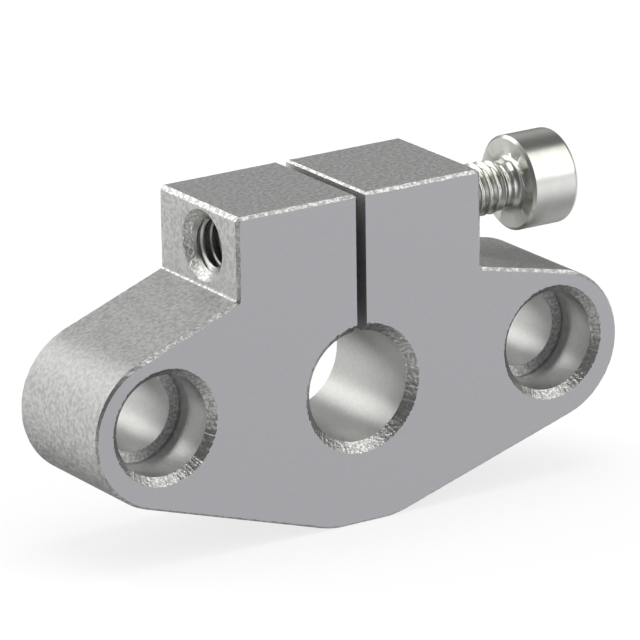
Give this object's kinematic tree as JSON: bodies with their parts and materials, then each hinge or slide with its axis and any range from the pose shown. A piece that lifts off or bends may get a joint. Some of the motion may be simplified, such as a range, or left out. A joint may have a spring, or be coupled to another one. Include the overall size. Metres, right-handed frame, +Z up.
{
  "type": "horizontal shaft support",
  "caption": "Flanged horizontal shaft support: a slotted block grips a shaft in its bore when the socket head screw across its ears is tightened; counterbored holes in the flange fasten it.",
  "frame": {"origin": "on the axis of the shaft bore, at the back mounting face", "axes": "+X along the flange towards the screw's head, +Y out of the back mounting face along the shaft, +Z up along the saw slot"},
  "size_m": [0.043, 0.01, 0.0242],
  "materials": {
    "blasted_aluminium": "bead blasted and clear anodised, satin",
    "plated_steel": "bright plated, thread rolled"
  },
  "bodies": {
    "support": {"support_body": "blasted_aluminium"},
    "screw": {"clamp_screw": "plated_steel"}
  },
  "joints": [
    {"name": "clamp_screw_travel", "type": "slide", "parent": "support", "child": "screw", "axis": [1, 0, 0], "range_m": [-0.00528, 0.0042]}
  ]
}
